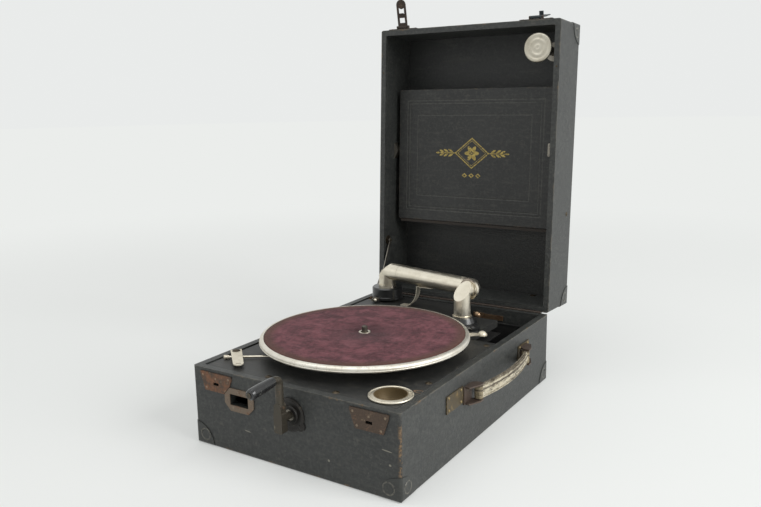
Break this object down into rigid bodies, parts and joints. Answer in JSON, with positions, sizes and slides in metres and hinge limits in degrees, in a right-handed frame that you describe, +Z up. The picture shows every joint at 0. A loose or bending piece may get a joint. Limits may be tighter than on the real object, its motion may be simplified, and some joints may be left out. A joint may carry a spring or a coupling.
{
  "type": "portable gramophone",
  "caption": "Portable wind-up gramophone in a cloth-covered case: hinged lid with record pocket, spring motor, felt platter, swinging tonearm, folded horn.",
  "frame": {"origin": "centre of the base's underside", "axes": "+X to the carrying handle's side, +Y to the lid's hinges, +Z up"},
  "size_m": [0.304, 0.5613, 0.5356],
  "materials": {
    "leathercloth": "grained, worn at the edges",
    "board_cloth": "fine grained",
    "plywood": "raw",
    "nickel": "aged nickel plate",
    "satin_steel": "satin",
    "dark_steel": "worn dark paint",
    "rusty_steel": "rust-toned",
    "cast_black": "black enamel",
    "brass": "aged",
    "felt": "faded felt",
    "strap_leather": "worn pale strap",
    "black_knob": "polished",
    "spring_steel": "blued",
    "mica": "translucent disc"
  },
  "bodies": {
    "base": {"case_walls": "leathercloth", "case_bottom": "leathercloth", "base_corner_caps": "dark_steel", "motor_board": "board_cloth", "board_rails": "plywood", "needle_cup": "nickel", "lock_plates": "rusty_steel", "crank_escutcheon": "dark_steel", "slot_escutcheon": "rusty_steel", "handle_plates": "brass", "handle_loops": "satin_steel", "tonearm_base": "cast_black", "arm_rest": "nickel", "wall_fittings": "brass", "horn": "cast_black", "hinge_base_leaves": "rusty_steel", "motor_plates": "satin_steel", "motor_pillars": "satin_steel", "bearing_brackets": "brass", "board_screws": "brass"},
    "turntable": {"platter": "nickel", "platter_felt": "felt", "spindle": "nickel", "spindle_washer": "nickel"},
    "spring_drum": {"spring_barrel": "satin_steel", "mainspring": "spring_steel"},
    "arbor": {"winding_wheel": "brass"},
    "second_shaft": {"intermediate_gear": "brass"},
    "governor": {"governor_shaft": "satin_steel", "governor_weights": "brass"},
    "winding": {"winding_shaft": "satin_steel"},
    "crank_arm": {"crank": "rusty_steel"},
    "knob": {"crank_knob": "black_knob"},
    "speed": {"speed_lever": "nickel"},
    "rod": {"speed_rod": "nickel"},
    "governor_shoe": {"governor_brake": "brass"},
    "stop_lever": {"brake_lever": "nickel"},
    "column": {"tonearm_column": "nickel"},
    "arm": {"tonearm_tube": "nickel"},
    "soundbox": {"gooseneck": "nickel", "soundbox_body": "cast_black", "soundbox_diaphragm": "mica", "stylus_bar": "satin_steel"},
    "needle_clamp": {"needle_screw": "nickel"},
    "lid": {"lid_walls": "leathercloth", "lid_panel": "leathercloth", "lid_corner_caps": "dark_steel", "hinge_lid_leaves": "rusty_steel", "catch_plates": "rusty_steel", "pocket_ledge": "plywood", "board_clips": "satin_steel", "cap_post": "satin_steel", "lid_studs": "brass"},
    "tray": {"record_board": "board_cloth"},
    "cap": {"needle_cap": "nickel"},
    "left_hasp": {"hasp_left": "rusty_steel"},
    "right_hasp": {"hasp_right": "rusty_steel"},
    "upper_stay": {"stay_upper": "satin_steel"},
    "lower_stay": {"stay_lower": "satin_steel"},
    "handle": {"handle_strap": "strap_leather"}
  },
  "joints": [
    {"name": "lid_hinge", "type": "hinge", "parent": "base", "child": "lid", "pos_m": [0, 0.2, 0.0952], "axis": [1, 0, 0], "range_deg": [0, 92.9]},
    {"name": "platter_spin", "type": "hinge", "parent": "base", "child": "turntable", "pos_m": [0, -0.05, 0], "axis": [0, 0, 1], "continuous": true},
    {"name": "intermediate_spin", "type": "hinge", "parent": "base", "child": "second_shaft", "pos_m": [0.02617, -0.07472, 0], "axis": [0, 0, 1], "continuous": true},
    {"name": "barrel_spin", "type": "hinge", "parent": "base", "child": "spring_drum", "pos_m": [0.0028, -0.112, 0], "axis": [0, 0, 1], "continuous": true},
    {"name": "governor_spin", "type": "hinge", "parent": "base", "child": "governor", "pos_m": [0, -0.03015, 0.048], "axis": [1, 0, 0], "continuous": true},
    {"name": "winding_spin", "type": "hinge", "parent": "base", "child": "winding", "pos_m": [0.0028, -0.19, 0.0647], "axis": [0, 1, 0], "continuous": true},
    {"name": "arbor_spin", "type": "hinge", "parent": "base", "child": "arbor", "pos_m": [0.0028, -0.112, 0], "axis": [0, 0, 1], "continuous": true},
    {"name": "crank_pull", "type": "slide", "parent": "winding", "child": "crank_arm", "axis": [0, 1, 0], "range_m": [-0.06, 0]},
    {"name": "crank_knob_spin", "type": "hinge", "parent": "crank_arm", "child": "knob", "pos_m": [0.0028, -0.22192, 0.11019], "axis": [0, -0.9976, -0.0698], "continuous": true},
    {"name": "tonearm_swing", "type": "hinge", "parent": "base", "child": "column", "pos_m": [0.0543, 0.105, 0], "axis": [0, 0, -1], "range_deg": [-76, 0]},
    {"name": "tonearm_lift", "type": "hinge", "parent": "column", "child": "arm", "pos_m": [0.0543, 0.105, 0.139], "axis": [0.2164, 0.9763, 0], "range_deg": [-0.5, 19.5]},
    {"name": "soundbox_turn", "type": "hinge", "parent": "arm", "child": "soundbox", "pos_m": [0.05949, 0.12843, 0.139], "axis": [-0.9763, 0.2164, 0], "range_deg": [-90.1, 0.1]},
    {"name": "needle_screw_turn", "type": "hinge", "parent": "soundbox", "child": "needle_clamp", "pos_m": [-0.108, 0.13525, 0.0992], "axis": [0.9763, -0.2164, 0], "range_deg": [-180, 0]},
    {"name": "brake_lever_turn", "type": "hinge", "parent": "base", "child": "stop_lever", "pos_m": [0.084, 0.008, 0], "axis": [0, 0, 1], "range_deg": [-12, 0]},
    {"name": "speed_lever_turn", "type": "hinge", "parent": "base", "child": "speed", "pos_m": [-0.1219, -0.1461, 0], "axis": [0, 0, 1], "range_deg": [0, 24]},
    {"name": "speed_rod_slide", "type": "slide", "parent": "base", "child": "rod", "axis": [0.8419, 0.5396, 0], "range_m": [0, 0.00537]},
    {"name": "governor_brake_turn", "type": "hinge", "parent": "base", "child": "governor_shoe", "pos_m": [-0.066, -0.075, 0], "axis": [0, 0, 1], "range_deg": [0, 7.06]},
    {"name": "hasp_left_turn", "type": "hinge", "parent": "lid", "child": "left_hasp", "pos_m": [-0.104, 0.22317, 0.49714], "axis": [1, 0, 0], "range_deg": [-100, 77]},
    {"name": "hasp_right_turn", "type": "hinge", "parent": "lid", "child": "right_hasp", "pos_m": [0.104, 0.22317, 0.49714], "axis": [1, 0, 0], "range_deg": [-8, 168]},
    {"name": "record_board_tilt", "type": "hinge", "parent": "lid", "child": "tray", "pos_m": [0, 0.23793, 0.20742], "axis": [-1, 0, 0], "range_deg": [-35, 0]},
    {"name": "needle_cap_press", "type": "slide", "parent": "lid", "child": "cap", "axis": [0, 0.9987, -0.0506], "range_m": [0, 0.004], "stiffness_N_per_m": 300, "springref_m": -0.003},
    {"name": "stay_lower_turn", "type": "hinge", "parent": "base", "child": "lower_stay", "pos_m": [0, 0.163, 0.088], "axis": [1, 0, 0], "range_deg": [0, 40.53]},
    {"name": "stay_upper_turn", "type": "hinge", "parent": "lid", "child": "upper_stay", "pos_m": [0, 0.21596, 0.175], "axis": [1, 0, 0], "range_deg": [0, 62.02]},
    {"name": "handle_pull", "type": "slide", "parent": "base", "child": "handle", "axis": [1, 0, 0], "range_m": [0, 0.0025]}
  ],
  "couplings": [
    {"joint": "intermediate_spin", "follows": "platter_spin", "ratio": -0.21212},
    {"joint": "barrel_spin", "follows": "platter_spin", "ratio": 0.047138},
    {"joint": "governor_spin", "follows": "platter_spin", "ratio": 10},
    {"joint": "arbor_spin", "follows": "winding_spin", "ratio": -0.33333},
    {"joint": "tonearm_lift", "follows": "tonearm_swing", "ratio": -0.25},
    {"joint": "soundbox_turn", "follows": "tonearm_swing", "ratio": 1.1842},
    {"joint": "speed_rod_slide", "follows": "speed_lever_turn", "m_per_rad": 0.012571},
    {"joint": "governor_brake_turn", "follows": "speed_lever_turn", "ratio": 0.29015},
    {"joint": "stay_lower_turn", "follows": "lid_hinge", "ratio": 0.43517},
    {"joint": "stay_upper_turn", "follows": "lid_hinge", "ratio": 0.66656}
  ]
}
